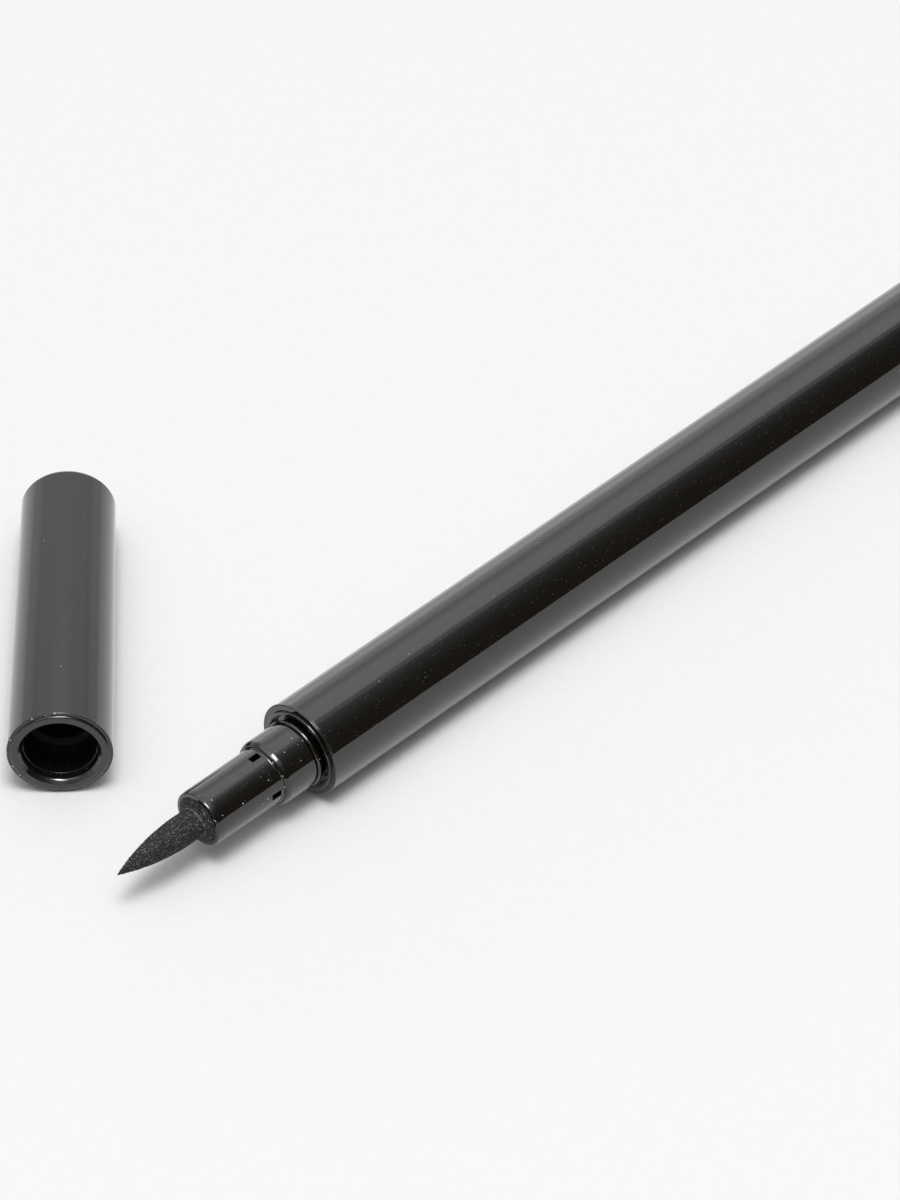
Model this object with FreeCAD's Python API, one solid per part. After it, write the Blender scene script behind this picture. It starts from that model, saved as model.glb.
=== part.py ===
import FreeCAD, Part
import math
import os

from FreeCAD import Placement, Rotation, Vector

# Liquid eyeliner pen lying on its side with its cap taken off beside it.
# Millimetres. The origin is on the pen's axis inside the cap seat, SEAT_REAR from its rear edge.
# The tip points to -X, the tail to +X and +Z is up.

# Clearances between mating pieces, on the radius
PRESS_GAP = 0.03
SLIP_GAP = 0.05
SEAT_GAP = 0.06
ROD_GAP = 0.06
BALL_GAP = 0.15

# Cap shell
CAP_LENGTH = 39.36
CAP_MOUTH_RADIUS = 5.5
CAP_END_RADIUS = 5.07
CAP_WALL = 0.62
CAP_END_WALL = 1.1
CAP_RIM_ROUND = 0.08
CAP_END_ROUND = 0.55

# Inner cap that grips the seat and seals round the nose. Its flange stands on the shell's rim
LINER_PROUD = 0.25
LINER_LEDGE = 0.35
LINER_FLANGE_ROUND = 0.22
LINER_COLLAR_LENGTH = 1.5
LINER_COLLAR_THICKNESS = 1.07
LINER_LEAD_RISE = 0.45
LINER_LEAD_LENGTH = 0.45
LINER_LEAD_ROUND = 0.6
LINER_LAND_GAP = 0.01
LINER_LAND_TAPER = 0.03
LINER_LAND_LENGTH = 0.8
LINER_BORE_LENGTH = 4.2
LINER_STEP_LENGTH = 0.5
LINER_SEAL_LENGTH = 9.3
LINER_CONE_LENGTH = 1.5
LINER_TIP_RADIUS = 2.3
LINER_TIP_LENGTH = 11.7
LINER_WALL = 0.55
LINER_END_BREAK = 0.5
LINER_RIB_COUNT = 6
LINER_RIB_WIDTH = 0.7

# Where the cap lies: the middle of its mouth on the floor plan, and its turn from +X
CAP_MOUTH_X = -14.58
CAP_MOUTH_Y = 17.17
CAP_TURN = 46.04

# Cap seat: the straight collar that the cap's bore slides over
SEAT_REAR = 2.0
SEAT_LENGTH = 3.92
SEAT_EDGE_BREAK = 0.08

# Shoulder in front of the seat: a crown down to an edge, and a hollow step to the nose
CROWN_LENGTH = 0.28
CROWN_DROP = 0.25
CROWN_ROUND = 0.95
STEP_DROP = 0.29
STEP_ROUND = 0.25

# Snap bead behind the seat, with a fine groove in front and a neck behind
GROOVE_DEPTH = 0.27
GROOVE_LENGTH = 0.15
BEAD_HEIGHT = 0.14
BEAD_LENGTH = 0.54
NECK_DEPTH = 0.17
NECK_LENGTH = 0.81

# Nose tube that carries the brush tip
NOSE_TAPER = 0.02
NOSE_LENGTH = 9.15
NOSE_CROWN_LENGTH = 0.5
NOSE_CROWN_DROP = 0.12
NOSE_CROWN_ROUND = 3.0
NOSE_EDGE_ROUND = 0.12
NOSE_WALL = 0.56

# Air windows through the nose, just in front of the shoulder
VENT_COUNT = 4
VENT_LENGTH = 1.25
VENT_WIDTH = 0.75
VENT_SETBACK = 0.4

# Skirt of the front section inside the barrel
SKIRT_LENGTH = 5.9
STOP_FLANGE_LENGTH = 2.6
SOCKET_RADIUS = 2.95
SOCKET_LENGTH = 8.0

# Barrel
BARREL_RADIUS = 5.25
BARREL_LENGTH = 96.55
BARREL_WALL = 0.95
BARREL_MOUTH_WALL = 0.8
BARREL_EDGE_BREAK = 0.06

# Front ring that closes the barrel's mouth and holds the front section in, with a raised lip
RING_PROUD = 0.08
RING_THICKNESS = 0.27
RING_EDGE_ROUND = 0.1
RING_LIP_HEIGHT = 0.18
RING_LIP_WIDTH = 0.46
RING_LIP_ROUND = 0.14
RING_RECESS_DEPTH = 0.6
RING_HOLE_STEP = 0.15
RING_HOLE_BREAK = 0.08
RING_SLEEVE_WALL = 0.37

# Tail plug
PLUG_HEAD_LENGTH = 1.2
PLUG_EDGE_ROUND = 0.6
PLUG_SPIGOT_LENGTH = 7.0
PLUG_WALL = 1.07
PLUG_CORE_DEPTH = 6.2
PLUG_GROOVE_COUNT = 2
PLUG_GROOVE_WIDTH = 0.8
PLUG_GROOVE_DEPTH = 0.3
PLUG_GROOVE_PITCH = 2.4

# Brush tip: ogive point, cone at its root, base in the nose and slim neck
BRUSH_RADIUS = 1.65
BRUSH_POINT_LENGTH = 9.0
BRUSH_STRAIGHT = 1.53
BRUSH_ROOT_CONE = 0.6
BRUSH_BASE_LENGTH = 5.3
BRUSH_NECK_WALL = 0.54
BRUSH_SOCKET_DEPTH = 7.5
BRUSH_POINT_RADIUS = 0.07

# Bush that holds the brush's neck, with air slots along its outside
HOLDER_LENGTH = 4.0
HOLDER_LIP_LENGTH = 1.0
HOLDER_SLOT_COUNT = 4
HOLDER_SLOT_WIDTH = 0.8
HOLDER_SLOT_DEPTH = 0.5

# Feed rod that leads ink from the tank to the brush
FEED_RADIUS = 1.0
FEED_POINT_LENGTH = 1.2
FEED_POINT_RADIUS = 0.3
FEED_SOCKET_GAP = 0.3
FEED_TANK_REACH = 3.0

# Comb collector: fins on a hub that take up ink when the tank warms
COMB_FIN_COUNT = 17
COMB_FIN_PITCH = 1.1
COMB_FIN_THICKNESS = 0.5
COMB_FIN_GAP = 0.1
COMB_HUB_WALL = 0.94
COMB_FRONT_FLANGE = 1.0
COMB_REAR_FLANGE = 1.8
COMB_BOSS_WALL = 0.74
COMB_BOSS_LENGTH = 1.6
INK_SLIT_WIDTH = 0.3
AIR_NOTCH_WIDTH = 1.4
AIR_NOTCH_DEPTH = 1.6

# Mixing ball, loose in the tank
BALL_RADIUS = 2.0
BALL_REST_GAP = 0.5

# Places along the pen's axis
seat_front = SEAT_REAR - SEAT_LENGTH
shoulder_end = seat_front - CROWN_LENGTH
nose_front = shoulder_end - NOSE_LENGTH
bead_front = SEAT_REAR + GROOVE_LENGTH
bead_rear = bead_front + BEAD_LENGTH
skirt_front = bead_rear + NECK_LENGTH
lip_front = skirt_front - RING_RECESS_DEPTH
ring_front = lip_front + RING_LIP_HEIGHT
barrel_front = ring_front + RING_THICKNESS
skirt_rear = skirt_front + SKIRT_LENGTH
section_rear = skirt_rear + STOP_FLANGE_LENGTH
socket_front = section_rear - SOCKET_LENGTH
barrel_rear = barrel_front + BARREL_LENGTH
tail_end = barrel_rear + PLUG_HEAD_LENGTH
plug_front = barrel_rear - PLUG_SPIGOT_LENGTH

holder_rear = socket_front + HOLDER_LENGTH
brush_neck_rear = holder_rear - HOLDER_LIP_LENGTH
brush_base_rear = nose_front + BRUSH_BASE_LENGTH
brush_cone_front = nose_front - BRUSH_ROOT_CONE
ogive_start = brush_cone_front - BRUSH_STRAIGHT
brush_point = ogive_start - BRUSH_POINT_LENGTH
comb_front = section_rear + COMB_FRONT_FLANGE
comb_rear = comb_front + (COMB_FIN_COUNT + 1) * COMB_FIN_PITCH - COMB_FIN_THICKNESS
comb_flange_rear = comb_rear + COMB_REAR_FLANGE
comb_boss_rear = comb_flange_rear + COMB_BOSS_LENGTH
feed_front = brush_neck_rear - BRUSH_SOCKET_DEPTH + FEED_SOCKET_GAP
feed_rear = comb_boss_rear + FEED_TANK_REACH
ball_rest = feed_rear + BALL_REST_GAP + BALL_RADIUS

# Radii of the cap, seat and nose, from the cap's outside inwards
flange_radius = CAP_MOUTH_RADIUS - LINER_LEDGE
cap_bore_radius = CAP_MOUTH_RADIUS - CAP_WALL
liner_bore_radius = cap_bore_radius - PRESS_GAP - LINER_COLLAR_THICKNESS
seat_radius = liner_bore_radius - SEAT_GAP
groove_radius = seat_radius - GROOVE_DEPTH
bead_radius = seat_radius + BEAD_HEIGHT
neck_radius = seat_radius - NECK_DEPTH
shoulder_radius = seat_radius - CROWN_DROP
nose_root_radius = shoulder_radius - STEP_DROP
nose_front_radius = nose_root_radius - NOSE_TAPER
nose_edge_radius = nose_front_radius - NOSE_CROWN_DROP
nose_bore_radius = nose_root_radius - NOSE_WALL
brush_base_radius = nose_bore_radius - SLIP_GAP
liner_land_radius = bead_radius + LINER_LAND_GAP
liner_lead_radius = liner_land_radius + LINER_LEAD_RISE
liner_seal_radius = nose_root_radius + SEAT_GAP

# Radii of the barrel and what it holds, from the barrel's outside inwards
ring_radius = BARREL_RADIUS + RING_PROUD
tank_radius = BARREL_RADIUS - BARREL_WALL
mouth_bore_radius = BARREL_RADIUS - BARREL_MOUTH_WALL
ring_sleeve_radius = mouth_bore_radius - PRESS_GAP
ring_bore_radius = ring_sleeve_radius - RING_SLEEVE_WALL
ring_hole_radius = ring_bore_radius + RING_HOLE_STEP
lip_radius = ring_hole_radius + RING_LIP_WIDTH
skirt_radius = ring_bore_radius - SLIP_GAP
holder_radius = SOCKET_RADIUS - SLIP_GAP
comb_radius = tank_radius - COMB_FIN_GAP
comb_seal_radius = tank_radius - PRESS_GAP
plug_spigot_radius = tank_radius - PRESS_GAP
plug_core_radius = plug_spigot_radius - PLUG_WALL

# Radii round the feed rod, from the rod outwards
rod_hole_radius = FEED_RADIUS + ROD_GAP
brush_neck_radius = rod_hole_radius + BRUSH_NECK_WALL
holder_bore_radius = brush_neck_radius + SLIP_GAP
comb_hub_radius = rod_hole_radius + COMB_HUB_WALL
comb_boss_radius = rod_hole_radius + COMB_BOSS_WALL

# The lowest line of the pen, on the floor
floor_height = -max(ring_radius, BARREL_RADIUS)

AXIS = Vector(1, 0, 0)
CENTRE = Vector(0, 0, 0)
FULL_TURN = 360

# Largest share of a side that a worked corner may use, and points closer than this are one
ROUND_SHARE = 0.98
SAME_POINT = 1e-6

# Marks a corner that is broken by a flat instead of a round
FLAT = True


def rounded_corner(before, corner, after, radius):
    """Start, middle and end of the arc that rounds a corner, kept within its two sides."""
    back = before - corner
    ahead = after - corner
    half = back.getAngle(ahead) / 2
    shorter = min(back.Length, ahead.Length)
    radius = min(radius, ROUND_SHARE * shorter * math.tan(half))
    reach = radius / math.tan(half)
    back.normalize()
    ahead.normalize()
    inward = back + ahead
    inward.normalize()
    start = corner + back * reach
    middle = corner + inward * (radius / math.sin(half) - radius)
    end = corner + ahead * reach
    return start, middle, end


def outline(corners):
    """Closed wire in the XZ half plane through corners given as (along, out).

    A third number rounds the corner, and FLAT after it makes that a flat break.
    """
    points = [Vector(corner[0], 0, corner[1]) for corner in corners]
    edges = []
    first = None
    last = None
    for index, corner in enumerate(corners):
        here = points[index]
        start, end, worked = here, here, None
        if len(corner) > 2:
            after = points[(index + 1) % len(points)]
            start, middle, end = rounded_corner(points[index - 1], here, after, corner[2])
            worked = Part.Arc(start, middle, end).toShape()
        if FLAT in corner[3:]:
            worked = Part.LineSegment(start, end).toShape()
        if last is None:
            first = start
        elif last.distanceToPoint(start) > SAME_POINT:
            edges.append(Part.LineSegment(last, start).toShape())
        if worked:
            edges.append(worked)
        last = end
    edges.append(Part.LineSegment(last, first).toShape())
    return Part.Wire(edges)


def turned(wire):
    """Solid of revolution of a closed outline about the X axis."""
    return Part.Face(wire).revolve(CENTRE, AXIS, FULL_TURN)


def slot_box(start, end, width, inner, outer):
    """Box along X that stands from inner to outer above the axis."""
    corner = Vector(start, -width / 2, inner)
    return Part.makeBox(end - start, width, outer - inner, corner)


def around_axis(shape, count):
    """Copies of a shape, evenly turned about the X axis."""
    copies = []
    for index in range(count):
        copy = shape.copy()
        copy.rotate(CENTRE, AXIS, FULL_TURN * index / count)
        copies.append(copy)
    return copies


def make_barrel():
    """Straight tube: ink tank with a wider mouth for the front end."""
    return turned(outline([
        (barrel_front, mouth_bore_radius),
        (barrel_front, BARREL_RADIUS, BARREL_EDGE_BREAK, FLAT),
        (barrel_rear, BARREL_RADIUS, BARREL_EDGE_BREAK, FLAT),
        (barrel_rear, tank_radius),
        (section_rear, tank_radius),
        (section_rear, mouth_bore_radius),
    ]))


def make_front_ring():
    """Stepped ring: rim on the barrel's end, raised lip round a recess and a sleeve in the mouth."""
    return turned(outline([
        (lip_front, ring_hole_radius, RING_HOLE_BREAK, FLAT),
        (lip_front, lip_radius, RING_LIP_ROUND),
        (ring_front, lip_radius),
        (ring_front, ring_radius, RING_EDGE_ROUND),
        (barrel_front, ring_radius, RING_EDGE_ROUND),
        (barrel_front, ring_sleeve_radius),
        (skirt_rear, ring_sleeve_radius),
        (skirt_rear, ring_bore_radius),
        (skirt_front, ring_bore_radius),
        (skirt_front, ring_hole_radius),
    ]))


def make_front_section():
    """Nose, shoulder, cap seat and snap bead in one moulding, with windows in the nose."""
    bead_round = BEAD_LENGTH / 2
    body = turned(outline([
        (nose_front, nose_bore_radius),
        (nose_front, nose_edge_radius, NOSE_EDGE_ROUND),
        (nose_front + NOSE_CROWN_LENGTH, nose_front_radius, NOSE_CROWN_ROUND),
        (shoulder_end, nose_root_radius, STEP_ROUND),
        (shoulder_end, shoulder_radius),
        (seat_front, seat_radius, CROWN_ROUND),
        (SEAT_REAR, seat_radius, SEAT_EDGE_BREAK, FLAT),
        (SEAT_REAR, groove_radius),
        (bead_front, groove_radius),
        (bead_front, bead_radius, bead_round),
        (bead_rear, bead_radius, bead_round),
        (bead_rear, neck_radius),
        (skirt_front, neck_radius),
        (skirt_front, skirt_radius),
        (skirt_rear, skirt_radius),
        (skirt_rear, ring_sleeve_radius),
        (section_rear, ring_sleeve_radius),
        (section_rear, SOCKET_RADIUS),
        (socket_front, SOCKET_RADIUS),
        (socket_front, nose_bore_radius),
    ]))
    vent_rear = shoulder_end - VENT_SETBACK
    vent = slot_box(vent_rear - VENT_LENGTH, vent_rear, VENT_WIDTH, brush_neck_radius, seat_radius)
    return body.cut(around_axis(vent, VENT_COUNT))


def make_brush_tip():
    """Pointed brush: ogive from the root to the point, base in the nose, neck and rod socket."""
    rise = BRUSH_RADIUS - BRUSH_POINT_RADIUS
    ogive_radius = (BRUSH_POINT_LENGTH ** 2 + rise ** 2) / (2 * rise)
    half_length = BRUSH_POINT_LENGTH / 2
    half_drop = ogive_radius - math.sqrt(ogive_radius ** 2 - half_length ** 2)
    point = Vector(brush_point, 0, BRUSH_POINT_RADIUS)
    half_way = Vector(ogive_start - half_length, 0, BRUSH_RADIUS - half_drop)
    root = Vector(ogive_start, 0, BRUSH_RADIUS)
    rod_socket_front = brush_neck_rear - BRUSH_SOCKET_DEPTH
    rest = [
        root,
        Vector(brush_cone_front, 0, BRUSH_RADIUS),
        Vector(nose_front, 0, brush_base_radius),
        Vector(brush_base_rear, 0, brush_base_radius),
        Vector(brush_base_rear, 0, brush_neck_radius),
        Vector(brush_neck_rear, 0, brush_neck_radius),
        Vector(brush_neck_rear, 0, rod_hole_radius),
        Vector(rod_socket_front, 0, rod_hole_radius),
        Vector(rod_socket_front, 0, 0),
        Vector(brush_point, 0, 0),
        point,
    ]
    edges = [Part.Arc(point, half_way, root).toShape()]
    for start, end in zip(rest, rest[1:]):
        edges.append(Part.LineSegment(start, end).toShape())
    return turned(Part.Wire(edges))


def make_brush_holder():
    """Bush round the brush's neck, with a lip behind it and air slots outside."""
    body = turned(outline([
        (socket_front, holder_bore_radius),
        (socket_front, holder_radius),
        (holder_rear, holder_radius),
        (holder_rear, rod_hole_radius),
        (brush_neck_rear, rod_hole_radius),
        (brush_neck_rear, holder_bore_radius),
    ]))
    slot_floor = holder_radius - HOLDER_SLOT_DEPTH
    slot = slot_box(socket_front, holder_rear, HOLDER_SLOT_WIDTH, slot_floor, SOCKET_RADIUS)
    return body.cut(around_axis(slot, HOLDER_SLOT_COUNT))


def make_feed_rod():
    """Fibre rod from the brush's socket to the tank, pointed at the brush end."""
    return turned(outline([
        (feed_front, 0),
        (feed_front, FEED_POINT_RADIUS),
        (feed_front + FEED_POINT_LENGTH, FEED_RADIUS),
        (feed_rear, FEED_RADIUS),
        (feed_rear, 0),
    ]))


def make_collector():
    """Comb of fins on a hub, with a spigot in front, a sealing flange behind and one ink slit."""
    core = turned(outline([
        (holder_rear, rod_hole_radius),
        (holder_rear, holder_radius),
        (section_rear, holder_radius),
        (section_rear, comb_radius),
        (comb_front, comb_radius),
        (comb_front, comb_hub_radius),
        (comb_rear, comb_hub_radius),
        (comb_rear, comb_seal_radius),
        (comb_flange_rear, comb_seal_radius),
        (comb_flange_rear, comb_boss_radius),
        (comb_boss_rear, comb_boss_radius),
        (comb_boss_rear, rod_hole_radius),
    ]))
    fins = []
    for index in range(COMB_FIN_COUNT):
        fin_front = comb_front + COMB_FIN_PITCH * (index + 1) - COMB_FIN_THICKNESS
        fins.append(turned(outline([
            (fin_front, rod_hole_radius),
            (fin_front, comb_radius),
            (fin_front + COMB_FIN_THICKNESS, comb_radius),
            (fin_front + COMB_FIN_THICKNESS, rod_hole_radius),
        ])))
    comb = core.fuse(fins)
    notch_floor = comb_radius - AIR_NOTCH_DEPTH
    air_notch = slot_box(holder_rear, comb_rear, AIR_NOTCH_WIDTH, notch_floor, tank_radius)
    ink_slit = slot_box(section_rear, comb_rear, INK_SLIT_WIDTH, 0, tank_radius)
    ink_slit.rotate(CENTRE, AXIS, FULL_TURN / 2)
    return comb.cut([air_notch, ink_slit]).removeSplitter()


def make_mixing_ball():
    """Steel ball lying on the tank's lower wall."""
    height = BALL_RADIUS + BALL_GAP - tank_radius
    return Part.makeSphere(BALL_RADIUS, Vector(ball_rest, 0, height))


def make_tail_plug():
    """Plug with a rounded head, a grooved spigot and a hollow core."""
    body = turned(outline([
        (plug_front, plug_core_radius),
        (plug_front, plug_spigot_radius),
        (barrel_rear, plug_spigot_radius),
        (barrel_rear, BARREL_RADIUS),
        (tail_end, BARREL_RADIUS, PLUG_EDGE_ROUND),
        (tail_end, 0),
        (plug_front + PLUG_CORE_DEPTH, 0),
        (plug_front + PLUG_CORE_DEPTH, plug_core_radius),
    ]))
    grooves = []
    for index in range(PLUG_GROOVE_COUNT):
        groove_front = plug_front + PLUG_GROOVE_PITCH * (index + 0.5)
        grooves.append(turned(outline([
            (groove_front, plug_spigot_radius - PLUG_GROOVE_DEPTH),
            (groove_front, tank_radius),
            (groove_front + PLUG_GROOVE_WIDTH, tank_radius),
            (groove_front + PLUG_GROOVE_WIDTH, plug_spigot_radius - PLUG_GROOVE_DEPTH),
        ])))
    return body.cut(grooves)


def cap_bore_at(depth):
    """Inside radius of the tapered cap shell at a depth from its mouth."""
    taper = (CAP_MOUTH_RADIUS - CAP_END_RADIUS) / CAP_LENGTH
    return cap_bore_radius - taper * depth


def lay_cap_down(shape):
    """Move a cap piece from its own axis to the place where the cap lies on the floor."""
    taper = math.atan((CAP_MOUTH_RADIUS - CAP_END_RADIUS) / CAP_LENGTH)
    height = floor_height + CAP_MOUTH_RADIUS * math.cos(taper)
    tilt = Rotation(Vector(0, 1, 0), math.degrees(taper))
    turn = Rotation(Vector(0, 0, 1), CAP_TURN)
    shape.Placement = Placement(Vector(CAP_MOUTH_X, CAP_MOUTH_Y, height), turn * tilt)
    return shape


def make_cap_shell():
    """Tapered cup with a rounded rim and a closed end."""
    end_inside = CAP_LENGTH - CAP_END_WALL
    return lay_cap_down(turned(outline([
        (0, cap_bore_radius),
        (0, CAP_MOUTH_RADIUS, CAP_RIM_ROUND),
        (CAP_LENGTH, CAP_END_RADIUS, CAP_END_ROUND),
        (CAP_LENGTH, 0),
        (end_inside, 0),
        (end_inside, cap_bore_at(end_inside)),
    ])))


def make_inner_cap():
    """Stepped cup inside the cap: flange, lead-in, grip bore, nose seal and tip chamber, with ribs."""
    lead_rear = LINER_LEAD_LENGTH - LINER_PROUD
    bore_front = lead_rear + LINER_LAND_LENGTH
    bore_rear = bore_front + LINER_BORE_LENGTH
    seal_front = bore_rear + LINER_STEP_LENGTH
    seal_rear = seal_front + LINER_SEAL_LENGTH
    tip_front = seal_rear + LINER_CONE_LENGTH
    tip_rear = tip_front + LINER_TIP_LENGTH
    body_radius = liner_bore_radius + LINER_WALL
    tip_outside = LINER_TIP_RADIUS + LINER_WALL
    body = turned(outline([
        (-LINER_PROUD, liner_lead_radius),
        (-LINER_PROUD, flange_radius, LINER_FLANGE_ROUND),
        (0, flange_radius),
        (0, cap_bore_radius - PRESS_GAP),
        (LINER_COLLAR_LENGTH, cap_bore_at(LINER_COLLAR_LENGTH) - PRESS_GAP),
        (LINER_COLLAR_LENGTH, body_radius),
        (seal_rear, body_radius),
        (tip_front, tip_outside),
        (tip_rear + LINER_WALL, tip_outside, LINER_END_BREAK, FLAT),
        (tip_rear + LINER_WALL, 0),
        (tip_rear, 0),
        (tip_rear, LINER_TIP_RADIUS),
        (tip_front, LINER_TIP_RADIUS),
        (seal_rear, liner_seal_radius),
        (seal_front, liner_seal_radius),
        (bore_rear, liner_bore_radius),
        (bore_front, liner_bore_radius),
        (bore_front, liner_land_radius - LINER_LAND_TAPER),
        (lead_rear, liner_land_radius, LINER_LEAD_ROUND),
    ]))
    rib_outside = cap_bore_at(seal_rear) - SLIP_GAP
    rib_inside = body_radius - LINER_WALL / 2
    rib = slot_box(LINER_COLLAR_LENGTH, seal_rear, LINER_RIB_WIDTH, rib_inside, rib_outside)
    return lay_cap_down(body.fuse(around_axis(rib, LINER_RIB_COUNT)).removeSplitter())


MAKERS = {
    "barrel": make_barrel,
    "front_ring": make_front_ring,
    "front_section": make_front_section,
    "brush_tip": make_brush_tip,
    "brush_holder": make_brush_holder,
    "feed_rod": make_feed_rod,
    "collector": make_collector,
    "mixing_ball": make_mixing_ball,
    "tail_plug": make_tail_plug,
    "cap_shell": make_cap_shell,
    "inner_cap": make_inner_cap,
}

os.makedirs("parts", exist_ok=True)
for name, maker in MAKERS.items():
    maker().exportStep("parts/" + name + ".step")
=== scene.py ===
import math

import bmesh
import bpy
from bpy.props import FloatProperty, FloatVectorProperty, IntProperty, PointerProperty
from bpy.types import Operator, Panel, PropertyGroup
from mathutils import Matrix, Vector


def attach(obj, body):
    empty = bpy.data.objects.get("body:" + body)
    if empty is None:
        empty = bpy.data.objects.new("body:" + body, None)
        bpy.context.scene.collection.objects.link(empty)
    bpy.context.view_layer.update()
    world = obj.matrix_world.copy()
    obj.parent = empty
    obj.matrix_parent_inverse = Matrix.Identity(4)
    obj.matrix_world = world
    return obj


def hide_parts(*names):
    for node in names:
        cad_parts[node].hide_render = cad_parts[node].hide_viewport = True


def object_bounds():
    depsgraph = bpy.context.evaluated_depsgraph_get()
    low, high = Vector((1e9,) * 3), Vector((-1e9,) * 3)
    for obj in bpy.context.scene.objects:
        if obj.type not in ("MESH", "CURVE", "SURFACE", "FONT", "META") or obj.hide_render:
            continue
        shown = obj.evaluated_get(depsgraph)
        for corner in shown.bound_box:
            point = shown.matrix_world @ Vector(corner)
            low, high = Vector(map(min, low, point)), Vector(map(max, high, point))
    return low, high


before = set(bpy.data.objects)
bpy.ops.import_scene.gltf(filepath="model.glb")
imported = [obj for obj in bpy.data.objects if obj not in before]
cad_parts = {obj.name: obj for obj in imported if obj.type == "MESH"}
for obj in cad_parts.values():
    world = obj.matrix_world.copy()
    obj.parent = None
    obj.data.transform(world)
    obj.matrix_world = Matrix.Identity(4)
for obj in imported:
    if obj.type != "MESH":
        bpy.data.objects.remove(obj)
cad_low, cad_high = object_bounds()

bl_info = {
    "name": "Liquid eyeliner pen",
    "version": (1, 0, 0),
    "blender": (4, 5, 0),
    "location": "View3D > Sidebar > Eyeliner pen",
    "description": "Models the looks of a liquid eyeliner pen round its packed CAD frame",
    "category": "Add Mesh",
}

# Metres in a millimetre
MM = 0.001

# The edges between faces that meet at a wider angle than this stay sharp
SHARP_ANGLE = math.radians(32)

# Vertices closer than this are one
MERGE_DISTANCE = 1e-7

# Flat steps that a rounded corner is made of
ROUND_STEPS = 8

# Specks on a finish: cells per metre, radius in cells, share of cells with a speck
BARREL_DUST = (640.0, 0.035, 0.3)
# The front's pale specks are partly dust and partly painted glints of the key light, so they sit
# on one side only
FRONT_DUST_AND_GLINTS = (1300.0, 0.11, 0.6)
CAP_DUST = (640.0, 0.035, 0.2)
LINER_DUST = (640.0, 0.04, 0.2)
FILM_SPECKS = (2600.0, 0.17, 0.3)
# Painted glints: bright specks that stand in for highlights on the burr of the cap's rim
BURR_GLINTS = (2300.0, 0.3, 0.4)
# Painted glints that stand in for the sparkle of the wet brush fibre
FIBRE_GLINTS = (9000.0, 0.42, 0.6)

# The world's colours are held at their brightness over this strength
ROOM_STRENGTH = 2.0

# Brightness of the room where the camera looks straight at it
ROOM_SEEN = 0.86


def length(label, millimetres, about):
    """Property for a length or a place along the axis, given in millimetres."""
    return FloatProperty(
        name=label, description=about, default=millimetres * MM,
        precision=5, unit="LENGTH", subtype="DISTANCE",
    )


def share(label, value, about):
    """Property for a plain factor."""
    return FloatProperty(name=label, description=about, default=value, min=0.0, subtype="FACTOR")


def level(label, value, about):
    """Property for a lamp's power or a brightness."""
    return FloatProperty(name=label, description=about, default=value, min=0.0)


def turn(label, degrees, about):
    """Property for an angle, given in degrees."""
    return FloatProperty(
        name=label, description=about, default=math.radians(degrees),
        unit="ROTATION", subtype="ANGLE",
    )


def colour(label, value, about):
    """Property for a linear colour."""
    return FloatVectorProperty(
        name=label, description=about, default=value, size=3, min=0.0, max=1.0, subtype="COLOR",
    )


class EyelinerBarrel(PropertyGroup):
    """Sizes of the barrel, its front ring and its tail plug."""

    segments: IntProperty(
        name="Segments", description="Faces round each turned piece", default=160, min=24, max=256,
    )
    front: length("Barrel front", 3.35, "Front end of the barrel on the pen's axis")
    rear: length("Barrel rear", 99.9, "Rear end of the barrel on the pen's axis")
    radius: length("Barrel radius", 5.25, "Outside radius of the barrel")
    tank_radius: length("Tank radius", 4.3, "Inside radius of the ink tank")
    mouth_radius: length("Mouth radius", 4.45, "Inside radius of the barrel's mouth")
    mouth_rear: length("Mouth rear", 12.0, "Where the wider mouth ends")
    edge_break: length("Edge break", 0.06, "Break on the barrel's two outer edges")
    ring_front: length("Ring front", 3.08, "Front face of the ring's rim")
    ring_radius: length("Ring radius", 5.33, "Outside radius of the ring")
    ring_round: length("Ring round", 0.1, "Round on the ring's outer edges")
    lip_front: length("Lip front", 2.9, "Front face of the ring's raised lip")
    lip_radius: length("Lip radius", 4.66, "Outside radius of the raised lip")
    lip_round: length("Lip round", 0.14, "Round on the lip's outer edge")
    ring_hole: length("Ring hole radius", 4.2, "Radius of the ring's opening")
    ring_hole_break: length("Ring hole break", 0.08, "Break on the edge of the ring's opening")
    ring_bore: length("Ring bore radius", 4.05, "Inside radius of the ring's sleeve")
    ring_sleeve: length("Ring sleeve radius", 4.42, "Outside radius of the ring's sleeve")
    ring_rear: length("Ring rear", 9.4, "Rear end of the ring's sleeve")
    recess_floor: length("Recess floor", 3.5, "Floor of the recess inside the ring")
    tail_end: length("Tail end", 101.1, "Rear face of the tail plug")
    tail_round: length("Tail round", 0.6, "Round on the tail plug's edge")
    plug_front: length("Plug front", 92.9, "Front end of the plug's spigot")
    plug_radius: length("Plug radius", 4.27, "Radius of the plug's spigot")
    plug_core: length("Plug core radius", 3.2, "Radius of the plug's hollow core")
    plug_core_depth: length("Plug core depth", 6.2, "Depth of the plug's hollow core")


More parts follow.
